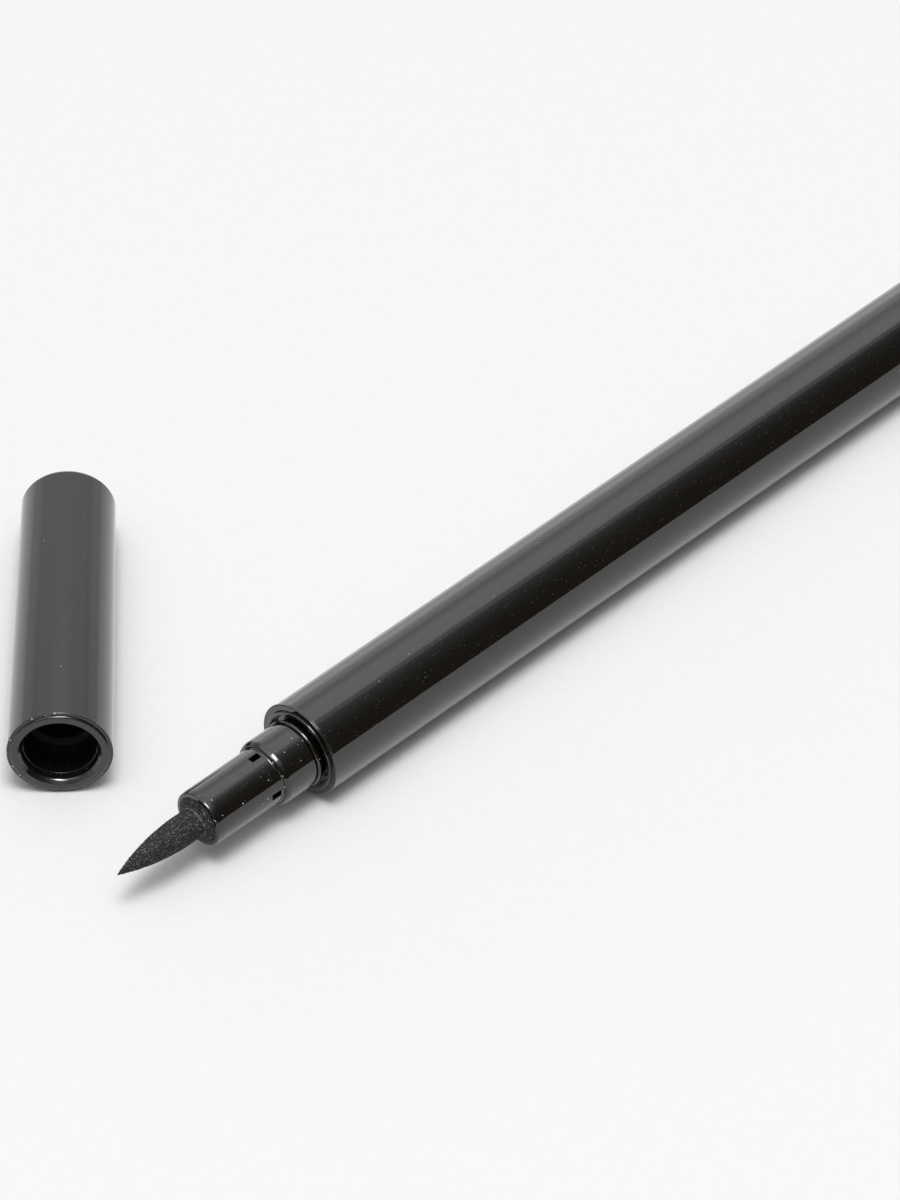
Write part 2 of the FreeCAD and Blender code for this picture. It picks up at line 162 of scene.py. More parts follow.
class EyelinerFront(PropertyGroup):
    """Sizes of the front section and the brush tip."""

    nose_front: length("Nose front", -11.35, "Front face of the nose")
    nose_edge: length("Nose edge radius", 3.04, "Radius of the nose at its front edge")
    nose_round: length("Nose round", 0.12, "Round on the nose's front edge")
    nose_crown: length("Nose crown", -10.85, "Where the nose starts to narrow to its edge")
    nose_crown_round: length("Nose crown round", 3.0, "Round of the nose's crown")
    nose_radius: length("Nose radius", 3.16, "Radius of the nose at its crown")
    nose_root: length("Nose root radius", 3.18, "Radius of the nose at the shoulder")
    nose_bore: length("Nose bore", 2.62, "Inside radius of the nose")
    shoulder: length("Shoulder", -2.2, "Where the nose meets the shoulder")
    step_round: length("Step round", 0.25, "Hollow round at the shoulder's foot")
    shoulder_radius: length("Shoulder radius", 3.47, "Radius of the shoulder's edge")
    seat_front: length("Seat front", -1.92, "Where the seat bends down to the shoulder")
    crown_round: length("Crown round", 0.95, "Round of the crown between seat and shoulder")
    seat_radius: length("Seat radius", 3.72, "Radius of the cap seat")
    seat_rear: length("Seat rear", 2.0, "Rear end of the cap seat")
    seat_break: length("Seat break", 0.08, "Break on the seat's rear edge")
    groove_radius: length("Groove radius", 3.45, "Radius of the groove behind the seat")
    bead_front: length("Bead front", 2.15, "Front of the snap bead")
    bead_rear: length("Bead rear", 2.69, "Rear of the snap bead")
    bead_radius: length("Bead radius", 3.86, "Radius of the snap bead")
    neck_radius: length("Neck radius", 3.55, "Radius of the neck behind the bead")
    skirt_radius: length("Skirt radius", 4.0, "Radius of the skirt inside the ring")
    socket_radius: length("Socket radius", 2.95, "Radius of the socket inside the skirt")
    socket_front: length("Socket front", 4.0, "Front end of the socket")
    vent_front: length("Window front", -3.85, "Front edge of the air windows")
    vent_rear: length("Window rear", -2.6, "Rear edge of the air windows")
    vent_width: length("Window width", 0.75, "Width of the air windows")
    brush_point: length("Brush point", -22.48, "Point of the brush")
    brush_root: length("Brush root", -13.48, "Where the brush starts to narrow")
    brush_cone: length("Brush cone", -11.95, "Front of the cone at the brush's root")
    brush_radius: length("Brush radius", 1.65, "Radius of the brush at its root")
    brush_tip: length("Brush point radius", 0.07, "Radius of the brush's point")
    brush_base: length("Brush base radius", 2.57, "Radius of the brush's base in the nose")
    brush_base_rear: length("Brush base rear", -6.05, "Rear of the brush's base")
    brush_neck: length("Brush neck radius", 1.6, "Radius of the brush's neck")
    brush_neck_rear: length("Brush neck rear", 7.0, "Rear of the brush's neck")
    brush_socket: length("Rod socket radius", 1.06, "Radius of the socket for the feed rod")
    brush_socket_front: length("Rod socket front", -0.5, "Front end of the rod socket")
    fibre_depth: length("Fibre depth", 0.16, "Height of the fibre grain on the brush")
    fibre_size: length("Fibre size", 0.14, "Size of the fibre grain on the brush")


class EyelinerCap(PropertyGroup):
    """Sizes and place of the cap."""

    length: length("Cap length", 39.36, "Length of the cap")
    mouth_radius: length("Mouth radius", 5.5, "Outside radius at the mouth")
    end_radius: length("End radius", 5.07, "Outside radius at the closed end")
    wall: length("Wall", 0.62, "Wall thickness of the shell")
    end_wall: length("End wall", 1.1, "Thickness of the closed end")
    rim_round: length("Rim round", 0.08, "Round on the mouth's outer edge")
    end_round: length("End round", 0.55, "Round on the closed end")
    mouth_x: length("Mouth X", -14.58, "Middle of the mouth on the floor plan, along X")
    mouth_y: length("Mouth Y", 17.17, "Middle of the mouth on the floor plan, along Y")
    turned: turn("Turn", 46.04, "Turn of the cap's axis from +X")
    flange_front: length("Flange front", -0.25, "Front face of the flange, from the mouth")
    flange_radius: length("Flange radius", 5.15, "Outside radius of the flange")
    flange_round: length("Flange round", 0.22, "Round on the flange's outer edge")
    collar_rear: length("Collar rear", 1.5, "Rear of the collar that is pressed into the shell")
    press_gap: length("Press gap", 0.03, "Clearance between the collar and the shell")
    lead_radius: length("Lead-in radius", 4.32, "Radius where the lead-in starts")
    lead_rear: length("Lead-in rear", 0.2, "Where the lead-in ends")
    lead_round: length("Lead-in round", 0.6, "Round from the lead-in to the bore")
    land_radius: length("Land radius", 3.87, "Radius of the land behind the lead-in")
    bore_front: length("Bore front", 1.0, "Front end of the grip bore")
    bore_rear: length("Bore rear", 5.2, "Rear end of the grip bore")
    bore_radius: length("Bore radius", 3.78, "Radius of the grip bore")
    seal_front: length("Seal front", 5.7, "Front end of the nose seal")
    seal_rear: length("Seal rear", 15.0, "Rear end of the nose seal")
    seal_radius: length("Seal radius", 3.24, "Radius of the nose seal")
    tip_front: length("Tip chamber front", 16.5, "Front end of the tip chamber")
    tip_rear: length("Tip chamber rear", 28.2, "Rear end of the tip chamber")
    tip_radius: length("Tip chamber radius", 2.3, "Radius of the tip chamber")
    liner_wall: length("Liner wall", 0.55, "Wall thickness of the inner cap")
    rib_width: length("Rib width", 0.7, "Width of the inner cap's ribs")


class EyelinerLooks(PropertyGroup):
    """Colours and finishes."""

    black: colour("Black plastic", (0.0032, 0.0029, 0.0026), "Colour of the glossy black plastic")
    liner: colour("Liner plastic", (0.006, 0.0055, 0.005), "Colour of the inner cap")
    # This pale colour is used for dust and for the painted glints on the front and on the cap's
    # rim
    dust_and_glint: colour("Dust", (0.78, 0.77, 0.75), "Colour of dust and dried specks")
    fibre: colour("Brush fibre", (0.004, 0.0037, 0.0038), "Colour of the ink-soaked brush")
    # The brush sparkle colour paints glints and sheen on the fibre
    fibre_glint: colour("Brush sparkle", (0.3, 0.3, 0.29), "Colour of dry fibre ends on the brush")
    feed: colour("Feed fibre", (0.03, 0.028, 0.03), "Colour of the feed rod")
    natural: colour("Natural plastic", (0.75, 0.74, 0.70), "Colour of the inner mouldings")
    steel: colour("Steel", (0.62, 0.62, 0.63), "Colour of the mixing ball")
    floor: colour("Floor", (0.924, 0.905, 0.89), "Colour of the floor")
    index: FloatProperty(
        name="Refraction", description="Refractive index of the plastics",
        default=1.58, min=1.0, max=2.5,
    )
    barrel_roughness: share("Barrel roughness", 0.05, "Roughness of the barrel")
    front_roughness: share("Front roughness", 0.04, "Roughness of the ring and front section")
    cap_roughness: share("Cap roughness", 0.14, "Roughness of the cap")
    liner_roughness: share("Liner roughness", 0.12, "Roughness of the inner cap's rim and grip")


class EyelinerStage(PropertyGroup):
    """Camera, floor and light."""

    camera: FloatVectorProperty(
        name="Camera", description="Place of the camera", size=3, precision=6,
        default=(-0.291489, -0.311274, 0.404788), unit="LENGTH", subtype="TRANSLATION",
    )
    heading: turn("Heading", 44.5068, "Direction of view on the floor plan, from +X towards +Y")
    dip: turn("Dip", 41.8831, "Angle of the view below the horizon")
    lens: FloatProperty(name="Lens", description="Focal length", default=171.715, unit="CAMERA")
    floor_size: length("Floor size", 4000, "Side of the floor")
    key_turn: turn("Key light turn", -126, "Direction of the key light on the floor plan")
    key_rise: turn("Key light rise", 76, "Height of the key light above the horizon")
    key_distance: length("Key light distance", 2000, "Distance of the key light")
    key_size: length("Key light size", 741, "Diameter of the key light")
    key_power: level("Key light power", 16.2, "Power of the key light, in watts")
    glow: level("Glow", 2.8, "Brightness of the glow round the key light")
    glow_spread: share("Glow spread", 0.09, "Width of the glow round the key light")
    key_tint: colour("Key light tint", (0.955, 0.98, 1.0), "Tint of the key light")
    panel_place: FloatVectorProperty(
        name="Panel place", description="Middle of the soft panel that glossy surfaces show",
        size=3, default=(-0.16, -0.15, 0.6), unit="LENGTH", subtype="TRANSLATION",
    )
    panel_length: length("Panel length", 400, "Size of the panel along the pen")
    panel_width: length("Panel width", 280, "Size of the panel across the pen")
    panel_power: level("Panel power", 3.5, "Power of the panel, in watts")
    room_turn: turn("Room turn", 46, "Direction of the room's brightest part on the floor plan")
    room_light: share("Room light", 0.06, "Share of the room's glow that lights matt surfaces")
    even_light: share("Even light", 0.13, "Light from all round on matt surfaces")
    floor_mirror: share("Floor in gloss", 0.22, "Extra brightness of the floor in glossy surfaces")


class EyelinerPen(PropertyGroup):
    """All settings of the pen."""

    barrel: PointerProperty(type=EyelinerBarrel)
    front: PointerProperty(type=EyelinerFront)
    cap: PointerProperty(type=EyelinerCap)
    looks: PointerProperty(type=EyelinerLooks)
    stage: PointerProperty(type=EyelinerStage)


# Outlines turned about the pen's axis

def corner_reach(before, corner, after, radius):
    """Distance from a corner to the ends of the round that fits in it."""
    half = (before - corner).angle(after - corner) / 2
    shorter = min((before - corner).length, (after - corner).length)
    return min(radius / math.tan(half), 0.98 * shorter)


def select_vertices(mesh, chosen):
    """Select the edit-mode vertices for which chosen is true, and nothing else."""
    bpy.ops.mesh.select_all(action="DESELECT")
    work = bmesh.from_edit_mesh(mesh)
    for vertex in work.verts:
        vertex.select = bool(chosen(vertex.co))
    work.select_flush_mode()
    bmesh.update_edit_mesh(mesh)


def nearest_vertex(mesh, point):
    """Place of the edit-mode vertex nearest to a point."""
    work = bmesh.from_edit_mesh(mesh)
    return min((vertex.co.copy() for vertex in work.verts), key=lambda co: (co - point).length)


def draw_outline(name, corners):
    """New object in edit mode with a closed outline of (along, out[, round[, steps]]) corners."""
    bpy.ops.object.select_all(action="DESELECT")
    bpy.ops.mesh.primitive_plane_add(size=MM, enter_editmode=True)
    piece = bpy.context.object
    piece.name = name
    piece.data.name = name
    bpy.ops.mesh.select_mode(type="VERT")
    bpy.ops.mesh.select_all(action="SELECT")
    bpy.ops.mesh.merge(type="CENTER")
    points = [Vector((corner[0], 0.0, corner[1])) for corner in corners]
    bpy.ops.transform.translate(value=points[0])
    for before, after in zip(points, points[1:]):
        bpy.ops.mesh.extrude_vertices_move(TRANSFORM_OT_translate={"value": after - before})
    bpy.ops.mesh.select_all(action="SELECT")
    bpy.ops.mesh.edge_face_add()
    for index, corner in enumerate(corners):
        if len(corner) < 3:
            continue
        here = nearest_vertex(piece.data, points[index])
        select_vertices(piece.data, lambda co: (co - here).length < MERGE_DISTANCE)
        after = points[(index + 1) % len(points)]
        reach = corner_reach(points[index - 1], points[index], after, corner[2])
        steps = corner[3] if len(corner) > 3 else ROUND_STEPS
        bpy.ops.mesh.bevel(
            offset=reach, offset_type="OFFSET", affect="VERTICES", segments=steps, profile=0.5,
        )
    bpy.ops.mesh.select_all(action="SELECT")
    bpy.ops.mesh.delete(type="ONLY_FACE")
    return piece


def spin_outline(segments):
    """Turn the outline of the object in edit mode once about the X axis and clean the result."""
    bpy.ops.mesh.select_all(action="SELECT")
    bpy.ops.mesh.spin(steps=segments, angle=math.tau, center=(0, 0, 0), axis=(1, 0, 0))
    bpy.ops.mesh.select_all(action="SELECT")
    bpy.ops.mesh.remove_doubles(threshold=MERGE_DISTANCE)
    bpy.ops.mesh.delete_loose(use_verts=True, use_edges=True, use_faces=False)
    bpy.ops.mesh.select_all(action="SELECT")
    bpy.ops.mesh.normals_make_consistent(inside=False)


def turned_piece(name, corners, segments):
    """Solid of revolution of an outline, as an object in object mode."""
    piece = draw_outline(name, corners)
    spin_outline(segments)
    bpy.ops.object.mode_set(mode="OBJECT")
    return piece


def make_active(piece):
    """Select one object and make it the active one."""
    bpy.ops.object.select_all(action="DESELECT")
    piece.select_set(True)
    bpy.context.view_layer.objects.active = piece


def smooth_piece(piece):
    """Shade an object smooth between its sharp edges, with true normals on its flat faces."""
    make_active(piece)
    bpy.ops.object.shade_smooth_by_angle(angle=SHARP_ANGLE)
    bpy.ops.object.modifier_add(type="WEIGHTED_NORMAL")
    modifier = piece.modifiers[-1]
    modifier.keep_sharp = True
    modifier.weight = 100
    bpy.ops.object.modifier_apply(modifier=modifier.name)


def box_object(name, low, high):
    """Box between two corners, drawn in edit mode."""
    low, high = Vector(low), Vector(high)
    bpy.ops.object.select_all(action="DESELECT")
    bpy.ops.mesh.primitive_cube_add(size=1, enter_editmode=True)
    box = bpy.context.object
    box.name = name
    bpy.ops.mesh.select_all(action="SELECT")
    bpy.ops.transform.resize(value=high - low)
    bpy.ops.transform.translate(value=(low + high) / 2)
    bpy.ops.object.mode_set(mode="OBJECT")
    return box


def combine(piece, tool, operation):
    """Cut a tool out of a piece or join it on, and remove the tool."""
    make_active(piece)
    bpy.ops.object.modifier_add(type="BOOLEAN")
    modifier = piece.modifiers[-1]
    modifier.object = tool
    modifier.operation = operation
    modifier.solver = "EXACT"
    bpy.ops.object.modifier_apply(modifier=modifier.name)
    make_active(tool)
    bpy.ops.object.delete()
    make_active(piece)


def finish_piece(piece, material, body, node):
    """Give a piece its material and its place in the frame."""
    if not piece.data.polygons:
        raise RuntimeError(piece.name + " has no faces")
    piece.data.materials.clear()
    piece.data.materials.append(material)
    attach(piece, body)
    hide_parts(node)


# Node trees

def feed(tree, target, value):
    """Link a socket to an input, or set the input's own value."""
    if isinstance(value, bpy.types.NodeSocket):
        tree.links.new(value, target)
    elif isinstance(value, (tuple, list)) and target.type == "RGBA" and len(value) == 3:
        target.default_value = (*value, 1.0)
    else:
        target.default_value = value


def add_node(tree, kind, inputs=None, **settings):
    """New node with its settings and inputs."""
    made = tree.nodes.new(kind)
    for key, value in settings.items():
        setattr(made, key, value)
    for key, value in (inputs or {}).items():
        feed(tree, made.inputs[key], value)
    return made


def calc(tree, operation, first, second=0.0):
    """Result of a math node."""
    made = add_node(tree, "ShaderNodeMath", {0: first, 1: second}, operation=operation)
    return made.outputs[0]


def vector_calc(tree, operation, first, second=(0.0, 0.0, 0.0)):
    """Result of a vector math node: a number for a dot product, and else a vector."""
    made = add_node(tree, "ShaderNodeVectorMath", {0: first, 1: second}, operation=operation)
    return made.outputs["Value" if operation == "DOT_PRODUCT" else "Vector"]


def ramp(tree, factor, stops):
    """Colour of a ramp with (place, colour) stops."""
    made = add_node(tree, "ShaderNodeValToRGB", {0: factor})
    made.color_ramp.interpolation = "LINEAR"
    elements = made.color_ramp.elements
    while len(elements) > 1:
        elements.remove(elements[-1])
    for index, (place, value) in enumerate(stops):
        stop = elements[0] if index == 0 else elements.new(place)
        stop.position = place
        stop.color = (*value, 1.0) if isinstance(value, tuple) else (value, value, value, 1.0)
    return made.outputs["Color"]


def rescale(tree, value, low, high, to_low, to_high):
    """Value moved from one range to another, and kept in it."""
    made = add_node(
        tree, "ShaderNodeMapRange",
        {"Value": value, "From Min": low, "From Max": high, "To Min": to_low, "To Max": to_high},
        interpolation_type="LINEAR", clamp=True,
    )
    return made.outputs["Result"]


def blend_colours(tree, factor, first, second):
    """Mix of two colours."""
    made = tree.nodes.new("ShaderNodeMix")
    made.data_type = "RGBA"
    feed(tree, made.inputs[0], factor)
    feed(tree, made.inputs[6], first)
    feed(tree, made.inputs[7], second)
    return made.outputs[2]


def start_material(name):
    """New material with an empty tree, and its object coordinates."""
    material = bpy.data.materials.new(name)
    material.use_nodes = True
    tree = material.node_tree
    tree.nodes.clear()
    place = add_node(tree, "ShaderNodeTexCoord").outputs["Object"]
    return material, tree, place


def end_material(tree, inputs):
    """Principled shader with its inputs, on the material's output."""
    shader = add_node(tree, "ShaderNodeBsdfPrincipled", inputs)
    output = add_node(tree, "ShaderNodeOutputMaterial")
    tree.links.new(shader.outputs["BSDF"], output.inputs["Surface"])


def noise(tree, place, scale, detail=2.0, roughness=0.5):
    """Noise value at a place."""
    made = add_node(
        tree, "ShaderNodeTexNoise",
        {"Vector": place, "Scale": scale, "Detail": detail, "Roughness": roughness},
    )
    return made.outputs["Fac"]


def specks(tree, place, scale, radius, amount):
    """Mask of small round specks: cells per metre, radius in cells and share of cells with one."""
    cells = add_node(
        tree, "ShaderNodeTexVoronoi", {"Vector": place, "Scale": scale, "Randomness": 1.0},
        feature="F1",
    )
    near = rescale(tree, cells.outputs["Distance"], radius * 0.55, radius, 1.0, 0.0)
    draw = add_node(tree, "ShaderNodeSeparateColor", {0: cells.outputs["Color"]}).outputs[0]
    chosen = calc(tree, "LESS_THAN", draw, amount)
    return calc(tree, "MULTIPLY", near, chosen)


def bump(tree, height, distance, strength=1.0):
    """Normal bent by a height."""
    made = add_node(
        tree, "ShaderNodeBump", {"Height": height, "Distance": distance, "Strength": strength},
    )
    return made.outputs["Normal"]


def cap_depth(tree, place, size):
    """Depth of a place behind the cap's mouth, along the cap that lies on the floor."""
    mouth = cap_placement(size).to_translation()
    axis = cap_placement(size).to_3x3() @ Vector((1.0, 0.0, 0.0))
    along = vector_calc(tree, "DOT_PRODUCT", place, tuple(axis))
    return calc(tree, "SUBTRACT", along, mouth.dot(axis))


def gloss_material(
    name, looks, tint, roughness, dust_and_glint, glint_side=False, rim=None, matt_inside=None,
):
    """Glossy moulded plastic with a faint mould waviness and a few pale specks of dust, some of
    them painted glints.

    glint_side keeps the specks to -Y, where they are partly dust and partly painted glints of the
    key light. Both rim and matt_inside take the cap's sizes: rim adds painted glints for the burr
    on the cap's rim, and matt_inside makes the inner cap matt behind its grip.
    """
    material, tree, place = start_material(name)
    grain = noise(tree, place, 5200.0, 3.0, 0.6)
    wave = noise(tree, place, 260.0, 1.0)
    mask = specks(tree, place, *dust_and_glint)
    # Specks only on the -Y side, where the key light catches the front: partly dust, partly
    # painted glints
    if glint_side:
        across = add_node(tree, "ShaderNodeSeparateXYZ", {0: place}).outputs["Y"]
        mask = calc(tree, "MULTIPLY", mask, rescale(tree, across, -0.6 * MM, -1.2 * MM, 0.0, 1.0))
    film = calc(tree, "MULTIPLY", specks(tree, place, *FILM_SPECKS), 0.1)
    dust_and_glint_mask = calc(tree, "MAXIMUM", mask, film)
    if rim is not None:
        # Painted glints along the cap's rim, where its burr would catch the light
        burr_glints = specks(tree, place, *BURR_GLINTS)
        edge = rescale(tree, cap_depth(tree, place, rim), 0.1 * MM, 0.2 * MM, 0.6, 0.0)
        dust_and_glint_mask = calc(tree, "MAXIMUM", dust_and_glint_mask, calc(tree, "MULTIPLY", burr_glints, edge))
    # Dust and painted glints blended into the plastic's colour
    base = blend_colours(tree, dust_and_glint_mask, tuple(tint), tuple(looks.dust_and_glint))
    finish = rescale(tree, grain, 0.2, 0.8, roughness * 0.75, roughness * 1.25)
    finish = calc(tree, "ADD", finish, calc(tree, "MULTIPLY", mask, 0.5))
    if matt_inside is not None:
        stain = rescale(tree, cap_depth(tree, place, matt_inside), 3 * MM, 5 * MM, 0.0, 0.6)
        finish = calc(tree, "ADD", finish, stain)
    end_material(tree, {
        "Base Color": base,
        "Roughness": finish,
        "IOR": looks.index,
        "Normal": bump(tree, wave, 0.000012, 0.3),
    })
    return material


def fibre_material(looks, root):
    """Ink-soaked fibre: dark strands with painted glints and painted sheen, and a painted
    highlight ring round the root.
    """
    material, tree, place = start_material("pen_brush_fibre")
    stretched = add_node(
        tree, "ShaderNodeMapping", {"Vector": place, "Scale": (0.45, 1.0, 1.0)},
    ).outputs["Vector"]
    strand = noise(tree, stretched, 6500.0, 2.0, 0.6)
    clump = noise(tree, stretched, 2200.0, 2.0)
    # Painted glints: pale specks in clumps for the sparkle of the wet fibre
    ends = specks(tree, stretched, *FIBRE_GLINTS)
    ends = calc(tree, "MULTIPLY", ends, rescale(tree, clump, 0.35, 0.65, 0.2, 1.0))
    # Painted sheen: pale streaks along the strands
    strand_sheen = rescale(tree, strand, 0.5, 0.68, 0.0, 0.1)
    pale = calc(tree, "MAXIMUM", ends, strand_sheen)
    # Painted highlight: a thin pale ring round the brush's root, where the wet ink meets the cone
    along = add_node(tree, "ShaderNodeSeparateXYZ", {0: place}).outputs["X"]
    off = calc(tree, "ABSOLUTE", calc(tree, "SUBTRACT", along, root))
    root_highlight = rescale(tree, off, 0.03 * MM, 0.08 * MM, 0.7, 0.0)
    root_highlight = calc(tree, "MULTIPLY", root_highlight, rescale(tree, clump, 0.4, 0.6, 0.2, 1.0))
    pale = calc(tree, "MAXIMUM", pale, root_highlight)
    # Painted glints, sheen and root highlight laid over the dark fibre
    base = blend_colours(tree, pale, tuple(looks.fibre), tuple(looks.fibre_glint))
    end_material(tree, {
        "Base Color": base,
        "Roughness": rescale(tree, strand, 0.3, 0.7, 0.5, 0.8),
        "IOR": 1.33,
        "Normal": bump(tree, strand, 0.00015, 1.0),
    })
    return material


def plain_material(name, tint, roughness, scale, metallic=0.0):
    """Plastic, fibre or metal with a fine grain in its colour and finish."""
    material, tree, place = start_material(name)
    grain = noise(tree, place, scale, 3.0, 0.6)
    darker = tuple(0.8 * part for part in tint)
    base = blend_colours(tree, rescale(tree, grain, 0.3, 0.7, 0.0, 1.0), darker, tuple(tint))
    end_material(tree, {
        "Base Color": base,
        "Roughness": rescale(tree, grain, 0.25, 0.75, roughness * 0.8, roughness * 1.2),
        "Metallic": metallic,
        "Normal": bump(tree, grain, 0.00002, 0.4),
    })
    return material


def shared_material(name, maker):
    """Material of that name, made the first time that it is asked for."""
    return bpy.data.materials.get(name) or maker()


def barrel_material(looks):
    """Gloss of the barrel and the tail plug."""
    return shared_material("pen_barrel_gloss", lambda: gloss_material(
        "pen_barrel_gloss", looks, looks.black, looks.barrel_roughness, BARREL_DUST))


def front_material(looks):
    """Gloss of the front ring and the front section."""
    return shared_material("pen_front_gloss", lambda: gloss_material(
        "pen_front_gloss", looks, looks.black, looks.front_roughness, FRONT_DUST_AND_GLINTS, glint_side=True))


class EYELINER_OT_barrel(Operator):
    """Model the barrel: a straight tube with a wider mouth"""

    bl_idname = "eyeliner.build_barrel"
    bl_label = "Barrel"

    def execute(self, context):
        pen = context.scene.eyeliner_pen
        size = pen.barrel
        piece = turned_piece("pen_barrel", [
            (size.front, size.mouth_radius),
            (size.front, size.radius, size.edge_break, 3),
            (size.rear, size.radius, size.edge_break, 3),
            (size.rear, size.tank_radius),
            (size.mouth_rear, size.tank_radius),
            (size.mouth_rear, size.mouth_radius),
        ], size.segments)
        smooth_piece(piece)
        finish_piece(piece, barrel_material(pen.looks), "pen", "barrel")
        return {"FINISHED"}


class EYELINER_OT_front_ring(Operator):
    """Model the stepped ring on the barrel's front end"""

    bl_idname = "eyeliner.build_front_ring"
    bl_label = "Front ring"

    def execute(self, context):
        pen = context.scene.eyeliner_pen
        size = pen.barrel
        piece = turned_piece("pen_front_ring", [
            (size.lip_front, size.ring_hole, size.ring_hole_break, 4),
            (size.lip_front, size.lip_radius, size.lip_round),
            (size.ring_front, size.lip_radius),
            (size.ring_front, size.ring_radius, size.ring_round),
            (size.front, size.ring_radius, size.ring_round),
            (size.front, size.ring_sleeve),
            (size.ring_rear, size.ring_sleeve),
            (size.ring_rear, size.ring_bore),
            (size.recess_floor, size.ring_bore),
            (size.recess_floor, size.ring_hole),
        ], size.segments)
        smooth_piece(piece)
        finish_piece(piece, front_material(pen.looks), "pen", "front_ring")
        return {"FINISHED"}


class EYELINER_OT_front_section(Operator):
    """Model the nose, shoulder, cap seat and snap bead, with four air windows"""

    bl_idname = "eyeliner.build_front_section"
    bl_label = "Front section"

    def execute(self, context):
        pen = context.scene.eyeliner_pen
        size, barrel = pen.front, pen.barrel
        margin = 0.05 * MM
        taper = (size.nose_root - size.nose_radius) / (size.shoulder - size.nose_crown)
        bead_round = (size.bead_rear - size.bead_front) / 2

        def nose_at(along):
            return size.nose_radius + taper * (along - size.nose_crown)

        piece = turned_piece("pen_front_section", [
            (size.nose_front, size.nose_bore),
            (size.nose_front, size.nose_edge, size.nose_round),
            (size.nose_crown, size.nose_radius, size.nose_crown_round, 12),
            (size.vent_front - margin, nose_at(size.vent_front - margin)),
            (size.vent_rear + margin, nose_at(size.vent_rear + margin)),
            (size.shoulder, size.nose_root, size.step_round),
            (size.shoulder, size.shoulder_radius),
            (size.seat_front, size.seat_radius, size.crown_round, 12),
            (size.seat_rear, size.seat_radius, size.seat_break, 4),
            (size.seat_rear, size.groove_radius),
            (size.bead_front, size.groove_radius),
            (size.bead_front, size.bead_radius, bead_round),
            (size.bead_rear, size.bead_radius, bead_round),
            (size.bead_rear, size.neck_radius),
            (barrel.recess_floor, size.neck_radius),
            (barrel.recess_floor, size.skirt_radius),
            (barrel.ring_rear, size.skirt_radius),
            (barrel.ring_rear, barrel.ring_sleeve),
            (barrel.mouth_rear, barrel.ring_sleeve),
            (barrel.mouth_rear, size.socket_radius),
            (size.socket_front, size.socket_radius),
            (size.socket_front, size.nose_bore),
        ], barrel.segments)
        half = size.vent_width / 2
        reach = size.seat_radius
        for number, (wide, tall) in enumerate(((half, reach), (reach, half))):
            tool = box_object(
                "window_tool_%d" % number,
                (size.vent_front, -wide, -tall), (size.vent_rear, wide, tall),
            )
            combine(piece, tool, "DIFFERENCE")
        smooth_piece(piece)
        finish_piece(piece, front_material(pen.looks), "pen", "front_section")
        return {"FINISHED"}


class EYELINER_OT_brush_tip(Operator):
    """Model the pointed brush with its root cone, base and neck, and raise its fibre grain"""

    bl_idname = "eyeliner.build_brush_tip"
    bl_label = "Brush tip"

    def execute(self, context):
        pen = context.scene.eyeliner_pen
        size = pen.front
        rings, cone_rings = 150, 12
        span = size.brush_root - size.brush_point
        drop = size.brush_radius - size.brush_tip
        corners = [(size.brush_point, 0.0)]
        for ring in range(rings + 1):
            along = 1 - ring / rings
            corners.append((size.brush_root - span * along, size.brush_radius - drop * along ** 2))
        for ring in range(cone_rings + 1):
            part = ring / cone_rings
            corners.append((
                size.brush_cone + (size.nose_front - size.brush_cone) * part,
                size.brush_radius + (size.brush_base - size.brush_radius) * part,
            ))
        corners += [
            (size.brush_base_rear, size.brush_base),
            (size.brush_base_rear, size.brush_neck),
            (size.brush_neck_rear, size.brush_neck),
            (size.brush_neck_rear, size.brush_socket),
            (size.brush_socket_front, size.brush_socket),
            (size.brush_socket_front, 0.0),
        ]
        piece = turned_piece("pen_brush_tip", corners, pen.barrel.segments)
        exposed = piece.vertex_groups.new(name="exposed")
        edge = size.nose_front - 0.02 * MM
        exposed.add([v.index for v in piece.data.vertices if v.co.x < edge], 1.0, "REPLACE")
        grain = bpy.data.textures.new("fibre_grain", "CLOUDS")
        grain.noise_scale = size.fibre_size
        grain.noise_depth = 2
        make_active(piece)
        bpy.ops.object.modifier_add(type="DISPLACE")
        modifier = piece.modifiers[-1]
        modifier.texture = grain
        modifier.texture_coords = "LOCAL"
        modifier.strength = size.fibre_depth
        modifier.mid_level = 0.62
        modifier.vertex_group = exposed.name
        bpy.ops.object.modifier_apply(modifier=modifier.name)
        smooth_piece(piece)
        material = fibre_material(pen.looks, size.brush_cone)
        finish_piece(piece, material, "pen", "brush_tip")
        return {"FINISHED"}


class EYELINER_OT_tail_plug(Operator):
    """Model the tail plug with its rounded head, grooved spigot and hollow core"""

    bl_idname = "eyeliner.build_tail_plug"
    bl_label = "Tail plug"

    def execute(self, context):
        pen = context.scene.eyeliner_pen
        size = pen.barrel
        grooves, groove_pitch, groove_width = 2, 2.4 * MM, 0.8 * MM
        groove_floor = size.plug_radius - 0.3 * MM
        corners = [(size.plug_front, size.plug_core), (size.plug_front, size.plug_radius)]
        for number in range(grooves):
            start = size.plug_front + groove_pitch * (number + 0.5)
            end = start + groove_width
            corners += [
                (start, size.plug_radius), (start, groove_floor),
                (end, groove_floor), (end, size.plug_radius),
            ]
        corners += [
            (size.rear, size.plug_radius),
            (size.rear, size.radius),
            (size.tail_end, size.radius, size.tail_round),
            (size.tail_end, 0.0),
            (size.plug_front + size.plug_core_depth, 0.0),
            (size.plug_front + size.plug_core_depth, size.plug_core),
        ]
        piece = turned_piece("pen_tail_plug", corners, size.segments)
        smooth_piece(piece)
        finish_piece(piece, barrel_material(pen.looks), "pen", "tail_plug")
        return {"FINISHED"}


def cap_bore_at(size, depth):
    """Inside radius of the tapered cap shell at a depth from its mouth."""
    taper = (size.mouth_radius - size.end_radius) / size.length
    return size.mouth_radius - size.wall - taper * depth


